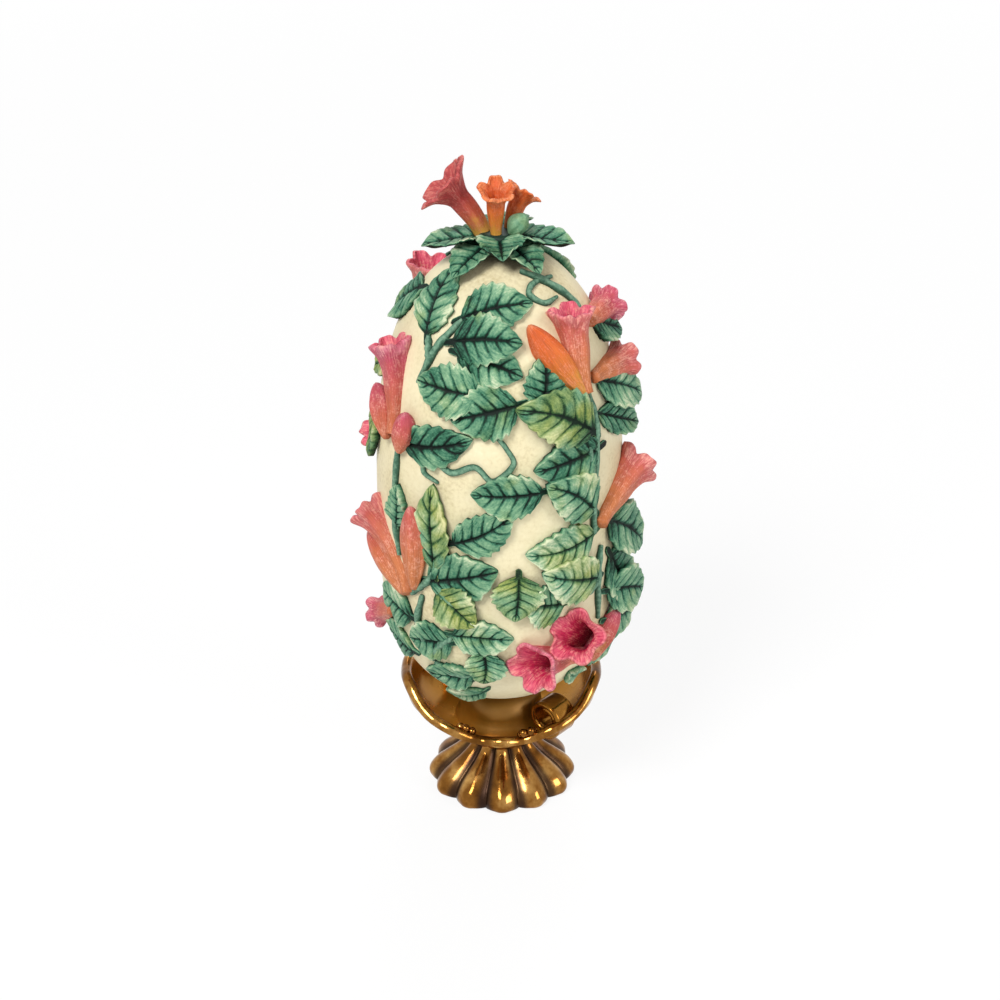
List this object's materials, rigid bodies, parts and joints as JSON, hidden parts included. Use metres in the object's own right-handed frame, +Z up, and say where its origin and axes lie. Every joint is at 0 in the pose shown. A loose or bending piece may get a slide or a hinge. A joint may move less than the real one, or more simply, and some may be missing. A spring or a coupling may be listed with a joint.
{
  "type": "decorative egg on stand",
  "caption": "Painted floral relief egg that lifts out of a gilt cup on a fluted foot, with leaves, trumpet flowers and a standing flower crown.",
  "frame": {"origin": "centre of the foot's underside, on the table", "axes": "+Z up along the egg, front towards -Y, +X to the right"},
  "size_m": [0.0664, 0.0644, 0.1442],
  "materials": {
    "gilt_metal": "antiqued gilt, glossy",
    "screw_steel": "plain",
    "cream_glaze": "cream paint, satin",
    "leaf_paint": "teal green paint with dark wash and pale dry brushing",
    "vine_paint": "dark green paint",
    "flower_paint": "coral and pink paint, satin",
    "coral_paint": "coral red paint, satin",
    "orange_paint": "orange paint, satin"
  },
  "bodies": {
    "stand": {"stand_bowl": "gilt_metal", "stand_collar": "gilt_metal", "stand_florets": "gilt_metal", "stand_foot": "gilt_metal", "stand_screw": "screw_steel", "stand_scrolls": "gilt_metal"},
    "egg": {"back_lower_leaves": "leaf_paint", "back_lower_right_blossom": "coral_paint", "back_lower_right_bud": "flower_paint", "back_lower_right_cup": "coral_paint", "back_mid_left_buds": "flower_paint", "back_mid_left_trumpet": "flower_paint", "back_mid_right_trumpet": "flower_paint", "back_middle_leaves": "leaf_paint", "back_stems": "vine_paint", "back_tendrils": "vine_paint", "back_upper_leaves": "leaf_paint", "back_upper_left_buds": "flower_paint", "back_upper_left_trumpet": "flower_paint", "back_upper_right_bud": "flower_paint", "back_upper_right_trumpet": "flower_paint", "crown_boss": "leaf_paint", "crown_bud": "leaf_paint", "crown_coral_trumpet": "coral_paint", "crown_front_trumpet": "orange_paint", "crown_leaves": "leaf_paint", "crown_rear_trumpet": "orange_paint", "egg_body": "cream_glaze", "front_lower_leaves": "leaf_paint", "front_lower_right_blossom": "coral_paint", "front_lower_right_bud": "flower_paint", "front_lower_right_cup": "coral_paint", "front_mid_left_buds": "flower_paint", "front_mid_left_trumpet": "flower_paint", "front_mid_right_trumpet": "flower_paint", "front_middle_leaves": "leaf_paint", "front_stems": "vine_paint", "front_tendrils": "vine_paint", "front_upper_leaves": "leaf_paint", "front_upper_left_buds": "flower_paint", "front_upper_left_trumpet": "flower_paint", "front_upper_right_bud": "flower_paint", "front_upper_right_trumpet": "flower_paint", "left_side_leaves": "leaf_paint", "lower_left_trumpet": "flower_paint", "right_shoulder_trumpet": "flower_paint", "right_side_leaves": "leaf_paint", "upper_right_side_trumpet": "flower_paint"}
  },
  "joints": [
    {"name": "egg_lift", "type": "slide", "parent": "stand", "child": "egg", "axis": [0, 0, 1], "range_m": [0, 0.06]}
  ]
}
